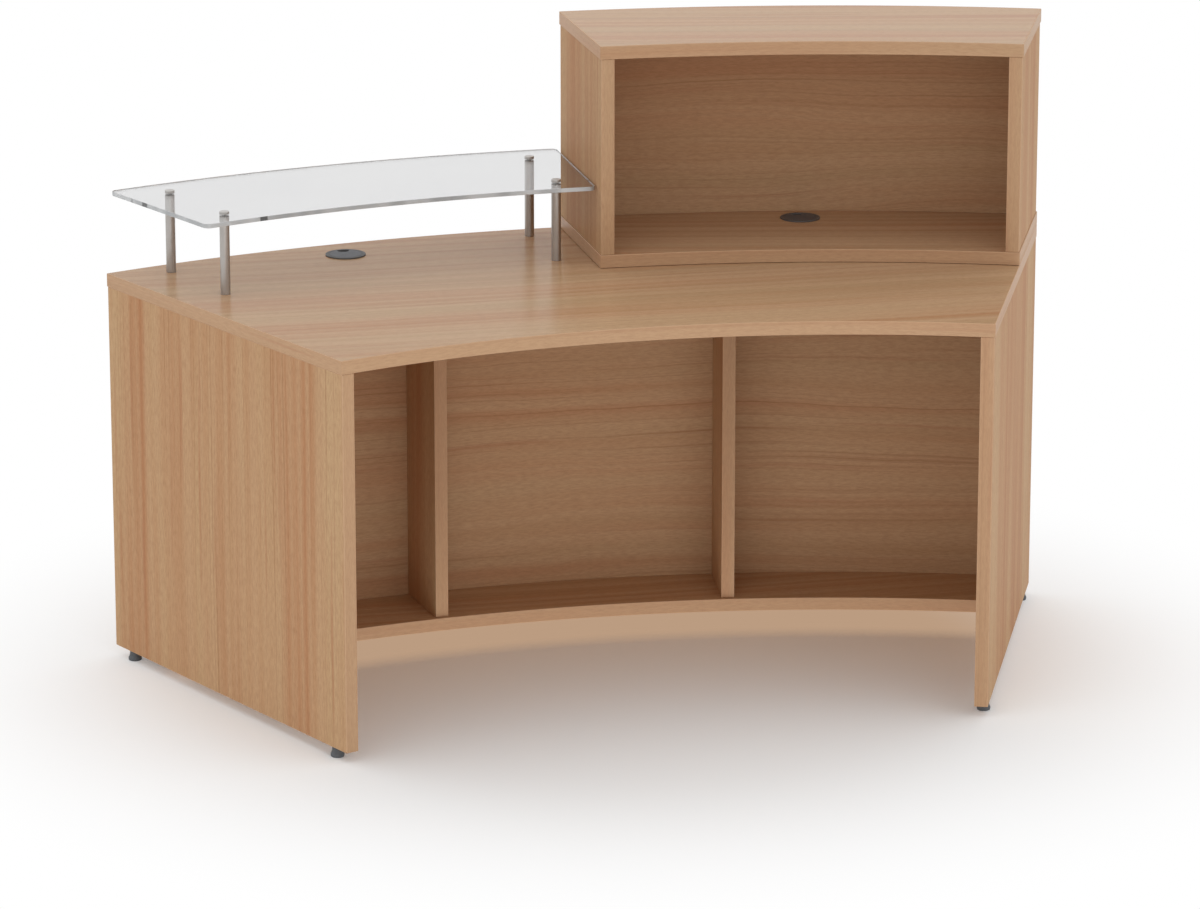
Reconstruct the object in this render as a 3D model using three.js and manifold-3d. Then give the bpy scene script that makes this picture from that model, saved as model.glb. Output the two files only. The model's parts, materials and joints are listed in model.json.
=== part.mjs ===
// A curved reception desk, seen in plan as a ring sector whose hollow side faces the staff.
// A worktop on two end panels carries a raised box on its right half and a glass shelf on its left half.
// Millimetres, +Z up. The origin lies on the floor, at the middle of the desk's bounding box.
// +Y points to the visitors and +X to the staff's right.
import * as THREE from "three";
import { mergeVertices } from "three/addons/utils/BufferGeometryUtils.js";
import Module from "manifold-3d";

// Desk plan and height
const DESK_WIDTH = 1800; // chord of the visitors' edge
const DESK_DEPTH = 800; // along a radius
const DESK_HEIGHT = 740; // floor to work surface
const SWEEP = THREE.MathUtils.degToRad(45); // angle from end to end
const BOARD = 25; // thickness of every board
const FOOT_HEIGHT = 20; // floor to the underside of the panels
const SIDE_OVERHANG = 1; // worktop past the outer faces of the end panels
const STAFF_OVERHANG = 0.5; // horizontal boards past the staff edges of the uprights
const VISITOR_OVERHANG = 2; // horizontal boards past the visitor edges of the uprights
const PANEL_RECESS = 16; // visitor panel behind the worktop's visitor edge
const SHELF_REACH = 215; // visitor edge of the worktop to the staff edge of the bottom shelf
const DIVIDER_SETBACK = 8; // dividers behind the staff edge of the bottom shelf
const BAYS = 3;

// Raised box on the right half
const HUTCH_DEPTH = 350;
const HUTCH_HEIGHT = 420;
const HUTCH_OVERHANG = 2; // base and top past the outer faces of the sides
const HUTCH_PANEL_RECESS = 6; // its visitor panel behind its visitor edge

// Glass shelf on four posts
const GLASS_DEPTH = 340;
const GLASS_OVERHANG = 20; // past the worktop's visitor edge
const GLASS_THICKNESS = 8;
const GLASS_CORNER_RADIUS = 12;
const GLASS_END_INSET = 23; // from the end of the worktop
const GLASS_HUTCH_GAP = 2; // from the edge of the raised box
const POST_HEIGHT = 142; // work surface to the underside of the glass
const POST_DIAMETER = 18;
const POST_STAFF_INSET = 57; // from the glass's staff edge
const POST_VISITOR_INSET = 77; // from the glass's visitor edge
const POST_END_INSET = 72; // from the glass's free end
const POST_HUTCH_INSET = 63; // from the glass's end beside the raised box
const GASKET_THICKNESS = 2;
const CAP_THICKNESS = 3.4;
const CAP_CHAMFER = 0.6;
const CAP_STEM_DIAMETER = 6;
const CAP_STEM_GRIP = 14; // stem inside the post
const POST_BOLT_DIAMETER = 8;
const POST_BOLT_GRIP = 28; // bolt inside the post

// Fasteners
const BOLT_HEAD_HEIGHT = 4;
const BOLT_FLANGE_HEIGHT = 1.5;
const BOLT_HEAD_RATIO = 1.6; // across flats, in shank diameters
const BOLT_FLANGE_RATIO = 2.1; // flange diameter, in shank diameters
const HUTCH_BOLT_DIAMETER = 6;
const HUTCH_BOLT_GRIP = 16; // bolt inside the hutch base
const HUTCH_BOLT_END_INSET = 120; // from the ends of the raised box
const HUTCH_BOLT_EDGE_INSET = 70; // from its staff edge, and from the visitor panel
const DOWEL_DIAMETER = 8;
const DOWEL_GRIP = 14; // dowel inside each board
const TOP_DOWEL_INSET = 120; // from the staff and visitor edges of the worktop
const SHELF_DOWEL_INSET = 45; // from the staff edge of the shelf, and from the visitor panel

// Levelling feet
const FOOT_DIAMETER = 25;
const FOOT_TOP_DIAMETER = 19;
const FOOT_RIM_HEIGHT = 6;
const FOOT_ROUNDING = 3;
const FOOT_EDGE_INSET = 50; // from the staff and visitor edges of the worktop
const MIDDLE_FOOT_INSET = 60; // from the visitor panel
const FOOT_STUD_DIAMETER = 8;
const FOOT_INSERT_DIAMETER = 12;
const FOOT_HOLE_COVER = 3; // board left above a foot's hole
const FOOT_STUD_HEADROOM = 2;
const FOOT_INSERT_HEADROOM = 6;

// Cable grommets, one in the middle of each half
const GROMMET_DIAMETER = 76;
const GROMMET_EDGE_INSET = 90; // from the visitor edge
const GROMMET_RIM_HEIGHT = 2.5;
const GROMMET_RIM_WIDTH = 7;
const GROMMET_RIM_CHAMFER = 1.5;
const GROMMET_SLEEVE_WALL = 2.5;
const GROMMET_SLEEVE_DEPTH = 20;
const GROMMET_LEDGE = 3; // ledge inside the sleeve that carries the cap
const GROMMET_LEDGE_THICKNESS = 2;
const GROMMET_CAP_THICKNESS = 3;
const GROMMET_NOTCH_WIDTH = 22;
const GROMMET_NOTCH_DEPTH = 16;
const GROMMET_WEB_MARGIN = 5; // web that closes the notch, past the notch

// Clearances and smoothness
const CLEARANCE = 0.3;
const DRILL_OVERSHOOT = 1;
const ARC_STEP = THREE.MathUtils.degToRad(1.25);
const FINE_SIDES = 36;
const ROUND_SIDES = 20;
const HIDDEN_SIDES = 12;
const CORNER_STEPS = 6;
const HEX_SIDES = 6;
const MERGE_DISTANCE = 1e-3;

// Radii from the centre of the arcs, and levels, that the sizes above give
const HALF_SWEEP = SWEEP / 2;
const VISITOR_RADIUS = DESK_WIDTH / 2 / Math.sin(HALF_SWEEP);
const STAFF_RADIUS = VISITOR_RADIUS - DESK_DEPTH;
const PANEL_INNER_RADIUS = VISITOR_RADIUS - PANEL_RECESS - BOARD;
const SHELF_STAFF_RADIUS = VISITOR_RADIUS - SHELF_REACH;
const SHELF_VISITOR_RADIUS = PANEL_INNER_RADIUS - CLEARANCE;
const HUTCH_STAFF_RADIUS = VISITOR_RADIUS - HUTCH_DEPTH;
const HUTCH_PANEL_INNER_RADIUS = VISITOR_RADIUS - HUTCH_PANEL_RECESS - BOARD;
const GLASS_VISITOR_RADIUS = VISITOR_RADIUS + GLASS_OVERHANG;
const GLASS_STAFF_RADIUS = GLASS_VISITOR_RADIUS - GLASS_DEPTH;
const GROMMET_RADIUS = VISITOR_RADIUS - GROMMET_EDGE_INSET;
const WORKTOP_UNDERSIDE = DESK_HEIGHT - BOARD;
const SHELF_TOP = FOOT_HEIGHT + BOARD;
const HUTCH_FLOOR = DESK_HEIGHT + BOARD;
const HUTCH_CEILING = DESK_HEIGHT + HUTCH_HEIGHT - BOARD;
const GLASS_UNDERSIDE = DESK_HEIGHT + POST_HEIGHT;
const GLASS_TOP = GLASS_UNDERSIDE + GLASS_THICKNESS;
const CAP_UNDERSIDE = GLASS_TOP + GASKET_THICKNESS;
const FOOT_HOLE_DEPTH = BOARD - FOOT_HOLE_COVER;
const GROMMET_SEAT = GROMMET_RIM_HEIGHT - GROMMET_CAP_THICKNESS;
const GROMMET_CAP_RADIUS = GROMMET_DIAMETER / 2 - GROMMET_RIM_WIDTH - CLEARANCE;
const GROMMET_BORE_RADIUS = GROMMET_CAP_RADIUS + CLEARANCE;
const GROMMET_HOLE_RADIUS = GROMMET_BORE_RADIUS + GROMMET_SLEEVE_WALL + CLEARANCE;
const CENTRE_DISTANCE = (GLASS_VISITOR_RADIUS + STAFF_RADIUS * Math.cos(HALF_SWEEP)) / 2;

// Inner faces of the end panels, as distances from the radial lines at the worktop's ends
const END_PANEL_INNER = SIDE_OVERHANG + BOARD;
const HUTCH_SIDE_INNER = HUTCH_OVERHANG + BOARD;

const WOOD = new THREE.MeshStandardMaterial({ color: 0xc79b6e, roughness: 0.5 });
const DOWEL_WOOD = new THREE.MeshStandardMaterial({ color: 0xd9bd92, roughness: 0.8 });
const GLASS = new THREE.MeshPhysicalMaterial({ color: 0xe6eeee, roughness: 0.03, transmission: 0.95 });
const STEEL = new THREE.MeshStandardMaterial({ color: 0xa9a6a1, roughness: 0.35, metalness: 1 });
const ZINC = new THREE.MeshStandardMaterial({ color: 0xb4b6b8, roughness: 0.45, metalness: 1 });
const DARK_PLASTIC = new THREE.MeshStandardMaterial({ color: 0x4a4744, roughness: 0.55 });
const GREY_PLASTIC = new THREE.MeshStandardMaterial({ color: 0x6a6a6d, roughness: 0.5 });
const RUBBER = new THREE.MeshStandardMaterial({ color: 0x2b2a29, roughness: 0.9 });

const ORIGIN = new THREE.Vector2();
const wasm = await Module();
wasm.setup();

// A closed geometry as a solid that can be cut and joined.
function toSolid(geometry) {
  const bare = new THREE.BufferGeometry();
  bare.setAttribute("position", geometry.getAttribute("position"));
  bare.setIndex(geometry.index);
  const merged = mergeVertices(bare, MERGE_DISTANCE);
  const mesh = new wasm.Mesh({
    numProp: 3,
    vertProperties: merged.getAttribute("position").array,
    triVerts: new Uint32Array(merged.index.array),
  });
  return new wasm.Manifold(mesh);
}

function toGeometry(solid) {
  const { vertProperties, triVerts } = solid.getMesh();
  const geometry = new THREE.BufferGeometry();
  geometry.setAttribute("position", new THREE.BufferAttribute(vertProperties, 3));
  geometry.setIndex(new THREE.BufferAttribute(triVerts, 1));
  return geometry;
}

function cut(geometry, tools) {
  const left = tools.reduce((solid, tool) => solid.subtract(toSolid(tool)), toSolid(geometry));
  return toGeometry(left);
}

function join(geometry, other) {
  return toGeometry(toSolid(geometry).add(toSolid(other)));
}

// A point in plan. Angles count from +Y towards +X.
function polar(radius, angle) {
  return new THREE.Vector2(radius * Math.sin(angle), radius * Math.cos(angle));
}

// Points of an arc in plan about (x, y), by the mathematical angle from +X, both ends included.
function arcPoints(centre, radius, from, to, steps) {
  return Array.from({ length: steps + 1 }, (_, i) => {
    const angle = from + ((to - from) * i) / steps;
    return new THREE.Vector2(centre.x + radius * Math.cos(angle), centre.y + radius * Math.sin(angle));
  });
}

// A ring sector between two straight ends. Each end is parallel to the radius at its angle, and inset from it.
function sectorShape(innerRadius, outerRadius, left, right, cornerRadius = 0) {
  const onEnd = (end, inward, radius) => end.angle + inward * Math.asin((end.inset + cornerRadius) / radius);
  const innerCentre = innerRadius + cornerRadius;
  const outerCentre = outerRadius - cornerRadius;
  const corner = (radius, angle, from, to) =>
    cornerRadius > 0 ? arcPoints(polar(radius, angle), cornerRadius, from, to, CORNER_STEPS) : [];
  const quarter = Math.PI / 2;
  const [outerLeft, outerRight] = [onEnd(left, 1, outerCentre), onEnd(right, -1, outerCentre)];
  const [innerLeft, innerRight] = [onEnd(left, 1, innerCentre), onEnd(right, -1, innerCentre)];
  const steps = Math.max(2, Math.round((right.angle - left.angle) / ARC_STEP));
  const sweep = (radius, from, to) => {
    const points = arcPoints(ORIGIN, radius, from, to, steps);
    return cornerRadius > 0 ? points.slice(1, -1) : points;
  };
  return new THREE.Shape([
    ...corner(outerCentre, outerRight, -right.angle, quarter - outerRight),
    ...sweep(outerRadius, quarter - outerRight, quarter - outerLeft),
    ...corner(outerCentre, outerLeft, quarter - outerLeft, 2 * quarter - left.angle),
    ...corner(innerCentre, innerLeft, 2 * quarter - left.angle, 3 * quarter - innerLeft),
    ...sweep(innerRadius, quarter - innerLeft, quarter - innerRight),
    ...corner(innerCentre, innerRight, 3 * quarter - innerRight, 4 * quarter - right.angle),
  ]);
}

function slab(shape, bottom, top) {
  const geometry = new THREE.ExtrudeGeometry(shape, { depth: top - bottom, bevelEnabled: false });
  return geometry.translate(0, 0, bottom);
}

function box(x, y, z) {
  const [width, length, height] = [x, y, z].map(([low, high]) => high - low);
  const [midX, midY, midZ] = [x, y, z].map(([low, high]) => (low + high) / 2);
  return new THREE.BoxGeometry(width, length, height).translate(midX, midY, midZ);
}

// A round body about +Z from a profile of [radius, height] pairs.
function turned(profile, sides) {
  const points = profile.map(([radius, height]) => new THREE.Vector2(radius, height));
  return new THREE.LatheGeometry(points, sides).rotateX(Math.PI / 2);
}

function rod(diameter, bottom, top, sides) {
  const radius = diameter / 2;
  return turned([[0, bottom], [radius, bottom], [radius, top], [0, top]], sides);
}

// A ring whose profile closes on itself.
function ring(innerRadius, outerRadius, bottom, top, sides) {
  const profile = [
    [innerRadius, bottom],
    [outerRadius, bottom],
    [outerRadius, top],
    [innerRadius, top],
    [innerRadius, bottom],
  ];
  return turned(profile, sides);
}

// Turns a geometry whose +Y is a radius to that radius's angle.
function swing(geometry, angle) {
  return geometry.rotateZ(-angle);
}

// A round hole through plan point (x, y).
function drill(diameter, point, bottom, top, sides = HIDDEN_SIDES) {
  return rod(diameter + 2 * CLEARANCE, bottom, top, sides).translate(point.x, point.y, 0);
}

// The desk, about the centre of its arcs.
const desk = new THREE.Group();
desk.position.y = -CENTRE_DISTANCE;

function add(name, geometry, material, parent = desk) {
  const mesh = new THREE.Mesh(geometry, material);
  mesh.name = name;
  parent.add(mesh);
  return mesh;
}

function groupAt(point, level = 0) {
  const group = new THREE.Group();
  group.position.set(point.x, point.y, level);
  desk.add(group);
  return group;
}

// Ends of the curved boards
const LEFT_END = { angle: -HALF_SWEEP, inset: 0 };
const RIGHT_END = { angle: HALF_SWEEP, inset: 0 };
const LEFT_PANEL_FACE = { angle: -HALF_SWEEP, inset: END_PANEL_INNER + CLEARANCE };
const RIGHT_PANEL_FACE = { angle: HALF_SWEEP, inset: END_PANEL_INNER + CLEARANCE };
const HUTCH_LEFT_END = { angle: 0, inset: 0 };
const HUTCH_LEFT_FACE = { angle: 0, inset: HUTCH_SIDE_INNER + CLEARANCE };
const HUTCH_RIGHT_FACE = { angle: HALF_SWEEP, inset: HUTCH_SIDE_INNER + CLEARANCE };
const GLASS_FREE_END = { angle: -HALF_SWEEP, inset: GLASS_END_INSET };
const GLASS_HUTCH_END = { angle: 0, inset: GLASS_HUTCH_GAP };
const ENDS = [
  { name: "left", side: -1, angle: -HALF_SWEEP },
  { name: "right", side: 1, angle: HALF_SWEEP },
];
const DIVIDER_ANGLE = SWEEP / BAYS / 2;
const GROMMET_ANGLE = HALF_SWEEP / 2;

// Places of the posts
const POST_STAFF_RADIUS = GLASS_STAFF_RADIUS + POST_STAFF_INSET;
const POST_VISITOR_RADIUS = GLASS_VISITOR_RADIUS - POST_VISITOR_INSET;
const POST_FREE_ANGLE = -HALF_SWEEP + Math.asin((GLASS_END_INSET + POST_END_INSET) / POST_STAFF_RADIUS);
const POST_HUTCH_ANGLE = -Math.asin((GLASS_HUTCH_GAP + POST_HUTCH_INSET) / POST_STAFF_RADIUS);
const POST_PLACES = [
  polar(POST_STAFF_RADIUS, POST_FREE_ANGLE),
  polar(POST_VISITOR_RADIUS, POST_FREE_ANGLE),
  polar(POST_STAFF_RADIUS, POST_HUTCH_ANGLE),
  polar(POST_VISITOR_RADIUS, POST_HUTCH_ANGLE),
];

// Places of the bolts under the raised box
const HUTCH_BOLT_PLACES = [
  HUTCH_STAFF_RADIUS + HUTCH_BOLT_EDGE_INSET,
  PANEL_INNER_RADIUS - HUTCH_BOLT_EDGE_INSET,
].flatMap((radius) => {
  const inset = Math.asin(HUTCH_BOLT_END_INSET / radius);
  return [polar(radius, inset), polar(radius, HALF_SWEEP - inset)];
});

// Dowels stand in the middle of an end panel's thickness, or lie in the middle of the shelf's.
const END_PANEL_MIDDLE = SIDE_OVERHANG + BOARD / 2;
const SHELF_MIDDLE = FOOT_HEIGHT + BOARD / 2;
const TOP_DOWEL_RADII = [STAFF_RADIUS + TOP_DOWEL_INSET, VISITOR_RADIUS - TOP_DOWEL_INSET];
const SHELF_DOWEL_RADII = [SHELF_STAFF_RADIUS + SHELF_DOWEL_INSET, PANEL_INNER_RADIUS - SHELF_DOWEL_INSET];

function topDowel(end, radius, spare) {
  const diameter = DOWEL_DIAMETER + 2 * spare;
  const reach = DOWEL_GRIP + spare;
  const upright = rod(diameter, WORKTOP_UNDERSIDE - reach, WORKTOP_UNDERSIDE + reach, HIDDEN_SIDES);
  return swing(upright.translate(-end.side * END_PANEL_MIDDLE, radius, 0), end.angle);
}

function shelfDowel(end, radius, spare) {
  const diameter = DOWEL_DIAMETER + 2 * spare;
  const reach = DOWEL_GRIP + spare;
  const lying = rod(diameter, -reach, reach, HIDDEN_SIDES).rotateY(Math.PI / 2);
  return swing(lying.translate(-end.side * END_PANEL_INNER, radius, SHELF_MIDDLE), end.angle);
}

const topDowels = (spare) =>
  ENDS.flatMap((end) => TOP_DOWEL_RADII.map((radius) => topDowel(end, radius, spare)));
const shelfDowels = (spare) =>
  ENDS.flatMap((end) => SHELF_DOWEL_RADII.map((radius) => shelfDowel(end, radius, spare)));

// Places of the levelling feet: under the end panels, then under the dividers.
const END_FOOT_RADII = [STAFF_RADIUS + FOOT_EDGE_INSET, VISITOR_RADIUS - FOOT_EDGE_INSET];
const MIDDLE_FOOT_RADIUS = PANEL_INNER_RADIUS - MIDDLE_FOOT_INSET;
const endFootPlaces = (end) =>
  END_FOOT_RADII.map((radius) =>
    new THREE.Vector2(-end.side * END_PANEL_MIDDLE, radius).rotateAround(ORIGIN, -end.angle),
  );
const MIDDLE_FOOT_PLACES = ENDS.map((end) => polar(MIDDLE_FOOT_RADIUS, end.side * DIVIDER_ANGLE));
const FOOT_PLACES = [...ENDS.flatMap(endFootPlaces), ...MIDDLE_FOOT_PLACES];
const footHole = (point) =>
  drill(FOOT_INSERT_DIAMETER, point, FOOT_HEIGHT - DRILL_OVERSHOOT, FOOT_HEIGHT + FOOT_HOLE_DEPTH);

// Boards of the desk
function buildDeskBoards() {
  const throughTop = [WORKTOP_UNDERSIDE - DRILL_OVERSHOOT, DESK_HEIGHT + DRILL_OVERSHOOT];
  const cableHole = (angle) =>
    rod(2 * GROMMET_HOLE_RADIUS, ...throughTop, FINE_SIDES).translate(...polar(GROMMET_RADIUS, angle), 0);
  const worktopBlank = slab(
    sectorShape(STAFF_RADIUS, VISITOR_RADIUS, LEFT_END, RIGHT_END),
    WORKTOP_UNDERSIDE,
    DESK_HEIGHT,
  );
  const worktop = cut(worktopBlank, [
    cableHole(-GROMMET_ANGLE),
    cableHole(GROMMET_ANGLE),
    ...POST_PLACES.map((point) => drill(POST_BOLT_DIAMETER, point, ...throughTop)),
    ...HUTCH_BOLT_PLACES.map((point) => drill(HUTCH_BOLT_DIAMETER, point, ...throughTop)),
    ...topDowels(CLEARANCE),
  ]);
  add("worktop", worktop, WOOD);

  for (const end of ENDS) {
    const faces = [-end.side * SIDE_OVERHANG, -end.side * END_PANEL_INNER].sort((a, b) => a - b);
    const blank = box(
      faces,
      [STAFF_RADIUS + STAFF_OVERHANG, VISITOR_RADIUS - VISITOR_OVERHANG],
      [FOOT_HEIGHT, WORKTOP_UNDERSIDE],
    );
    const holes = [
      ...TOP_DOWEL_RADII.map((radius) => topDowel(end, radius, CLEARANCE)),
      ...SHELF_DOWEL_RADII.map((radius) => shelfDowel(end, radius, CLEARANCE)),
      ...endFootPlaces(end).map(footHole),
    ];
    add(`${end.name}_end_panel`, cut(swing(blank, end.angle), holes), WOOD);
  }

  const visitorPanel = sectorShape(
    PANEL_INNER_RADIUS,
    PANEL_INNER_RADIUS + BOARD,
    LEFT_PANEL_FACE,
    RIGHT_PANEL_FACE,
  );
  add("visitor_panel", slab(visitorPanel, FOOT_HEIGHT, WORKTOP_UNDERSIDE), WOOD);

  const shelf = sectorShape(SHELF_STAFF_RADIUS, SHELF_VISITOR_RADIUS, LEFT_PANEL_FACE, RIGHT_PANEL_FACE);
  const shelfHoles = [...shelfDowels(CLEARANCE), ...MIDDLE_FOOT_PLACES.map(footHole)];
  add("bottom_shelf", cut(slab(shelf, FOOT_HEIGHT, SHELF_TOP), shelfHoles), WOOD);

  for (const end of ENDS) {
    const divider = box(
      [-BOARD / 2, BOARD / 2],
      [SHELF_STAFF_RADIUS + DIVIDER_SETBACK, SHELF_VISITOR_RADIUS - CLEARANCE],
      [SHELF_TOP, WORKTOP_UNDERSIDE],
    );
    add(`${end.name}_divider`, swing(divider, end.side * DIVIDER_ANGLE), WOOD);
  }
}

// Boards of the raised box
function buildHutchBoards() {
  const outline = sectorShape(HUTCH_STAFF_RADIUS, VISITOR_RADIUS, HUTCH_LEFT_END, RIGHT_END);
  const cableHole = rod(
    2 * GROMMET_HOLE_RADIUS,
    DESK_HEIGHT - DRILL_OVERSHOOT,
    HUTCH_FLOOR + DRILL_OVERSHOOT,
    FINE_SIDES,
  ).translate(...polar(GROMMET_RADIUS, GROMMET_ANGLE), 0);
  const boltHoles = HUTCH_BOLT_PLACES.map((point) =>
    drill(HUTCH_BOLT_DIAMETER, point, DESK_HEIGHT - DRILL_OVERSHOOT, DESK_HEIGHT + HUTCH_BOLT_GRIP + CLEARANCE),
  );
  add("hutch_base", cut(slab(outline, DESK_HEIGHT, HUTCH_FLOOR), [cableHole, ...boltHoles]), WOOD);
  add("hutch_top", slab(outline, HUTCH_CEILING, HUTCH_CEILING + BOARD), WOOD);

  const sideLength = [HUTCH_STAFF_RADIUS + STAFF_OVERHANG, VISITOR_RADIUS - VISITOR_OVERHANG];
  const sideHeight = [HUTCH_FLOOR, HUTCH_CEILING];
  const leftSide = box([HUTCH_OVERHANG, HUTCH_SIDE_INNER], sideLength, sideHeight);
  const rightSide = box([-HUTCH_SIDE_INNER, -HUTCH_OVERHANG], sideLength, sideHeight);
  add("hutch_left_panel", leftSide, WOOD);
  add("hutch_right_panel", swing(rightSide, HALF_SWEEP), WOOD);

  const visitorPanel = sectorShape(
    HUTCH_PANEL_INNER_RADIUS,
    HUTCH_PANEL_INNER_RADIUS + BOARD,
    HUTCH_LEFT_FACE,
    HUTCH_RIGHT_FACE,
  );
  add("hutch_visitor_panel", slab(visitorPanel, HUTCH_FLOOR, HUTCH_CEILING), WOOD);
}

// A flanged hexagon bolt that points up, with its flange against a surface at level 0.
function boltGeometry(diameter, length) {
  const flangeRadius = (diameter * BOLT_FLANGE_RATIO) / 2;
  const shank = turned(
    [
      [0, -BOLT_FLANGE_HEIGHT],
      [flangeRadius, -BOLT_FLANGE_HEIGHT],
      [flangeRadius, 0],
      [diameter / 2, 0],
      [diameter / 2, length],
      [0, length],
    ],
    HIDDEN_SIDES,
  );
  const headRadius = (diameter * BOLT_HEAD_RATIO) / 2 / Math.cos(Math.PI / HEX_SIDES);
  const headTop = -BOLT_FLANGE_HEIGHT / 2;
  const head = rod(2 * headRadius, -BOLT_FLANGE_HEIGHT - BOLT_HEAD_HEIGHT, headTop, HEX_SIDES);
  return join(shank, head);
}

// Glass shelf, with its posts, caps, gaskets and bolts
function buildGlassShelf() {
  const outline = sectorShape(
    GLASS_STAFF_RADIUS,
    GLASS_VISITOR_RADIUS,
    GLASS_FREE_END,
    GLASS_HUTCH_END,
    GLASS_CORNER_RADIUS,
  );
  const holes = POST_PLACES.map((point) =>
    drill(CAP_STEM_DIAMETER, point, GLASS_UNDERSIDE - DRILL_OVERSHOOT, GLASS_TOP + DRILL_OVERSHOOT),
  );
  add("glass_shelf", cut(slab(outline, GLASS_UNDERSIDE, GLASS_TOP), holes), GLASS);

  const radius = POST_DIAMETER / 2;
  const stemHole = CAP_STEM_DIAMETER / 2 + CLEARANCE;
  const boltHole = POST_BOLT_DIAMETER / 2 + CLEARANCE;
  const stemBottom = GLASS_UNDERSIDE - CAP_STEM_GRIP;
  const capTop = CAP_UNDERSIDE + CAP_THICKNESS;
  POST_PLACES.forEach((point, i) => {
    const stand = groupAt(point);
    const post = [
      [0, DESK_HEIGHT + POST_BOLT_GRIP + CLEARANCE],
      [boltHole, DESK_HEIGHT + POST_BOLT_GRIP + CLEARANCE],
      [boltHole, DESK_HEIGHT],
      [radius, DESK_HEIGHT],
      [radius, GLASS_UNDERSIDE],
      [stemHole, GLASS_UNDERSIDE],
      [stemHole, stemBottom - CLEARANCE],
      [0, stemBottom - CLEARANCE],
    ];
    const cap = [
      [0, stemBottom],
      [CAP_STEM_DIAMETER / 2, stemBottom],
      [CAP_STEM_DIAMETER / 2, CAP_UNDERSIDE],
      [radius, CAP_UNDERSIDE],
      [radius, capTop - CAP_CHAMFER],
      [radius - CAP_CHAMFER, capTop],
      [0, capTop],
    ];
    add(`post_${i + 1}`, turned(post, ROUND_SIDES), STEEL, stand);
    add(`post_gasket_${i + 1}`, ring(stemHole, radius, GLASS_TOP, CAP_UNDERSIDE, ROUND_SIDES), RUBBER, stand);
    add(`post_cap_${i + 1}`, turned(cap, ROUND_SIDES), STEEL, stand);
    const bolt = boltGeometry(POST_BOLT_DIAMETER, BOARD + POST_BOLT_GRIP);
    add(`post_bolt_${i + 1}`, bolt, ZINC, groupAt(point, WORKTOP_UNDERSIDE));
  });
}

// Bolts that hold the raised box down
function buildHutchBolts() {
  HUTCH_BOLT_PLACES.forEach((point, i) => {
    const bolt = boltGeometry(HUTCH_BOLT_DIAMETER, BOARD + HUTCH_BOLT_GRIP);
    add(`hutch_bolt_${i + 1}`, bolt, ZINC, groupAt(point, WORKTOP_UNDERSIDE));
  });
}

function buildDowels() {
  topDowels(0).forEach((dowel, i) => add(`top_dowel_${i + 1}`, dowel, DOWEL_WOOD));
  shelfDowels(0).forEach((dowel, i) => add(`shelf_dowel_${i + 1}`, dowel, DOWEL_WOOD));
}

// Levelling feet, screwed right in, each in its threaded insert
function buildFeet() {
  const radius = FOOT_DIAMETER / 2;
  const studRadius = FOOT_STUD_DIAMETER / 2;
  const studTop = FOOT_HEIGHT + FOOT_HOLE_DEPTH - FOOT_STUD_HEADROOM;
  const rounding = arcPoints(
    new THREE.Vector2(radius - FOOT_ROUNDING, FOOT_ROUNDING),
    FOOT_ROUNDING,
    -Math.PI / 2,
    0,
    CORNER_STEPS / 2,
  ).map(({ x, y }) => [x, y]);
  const foot = [
    [0, 0],
    ...rounding,
    [radius, FOOT_RIM_HEIGHT],
    [FOOT_TOP_DIAMETER / 2, FOOT_HEIGHT],
    [studRadius, FOOT_HEIGHT],
    [studRadius, studTop],
    [0, studTop],
  ];
  const insertTop = FOOT_HEIGHT + FOOT_HOLE_DEPTH - FOOT_INSERT_HEADROOM;
  FOOT_PLACES.forEach((point, i) => {
    const stand = groupAt(point);
    add(`foot_${i + 1}`, turned(foot, ROUND_SIDES), DARK_PLASTIC, stand);
    const insert = ring(studRadius + CLEARANCE, FOOT_INSERT_DIAMETER / 2, FOOT_HEIGHT, insertTop, HIDDEN_SIDES);
    add(`foot_insert_${i + 1}`, insert, ZINC, stand);
  });
}

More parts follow.
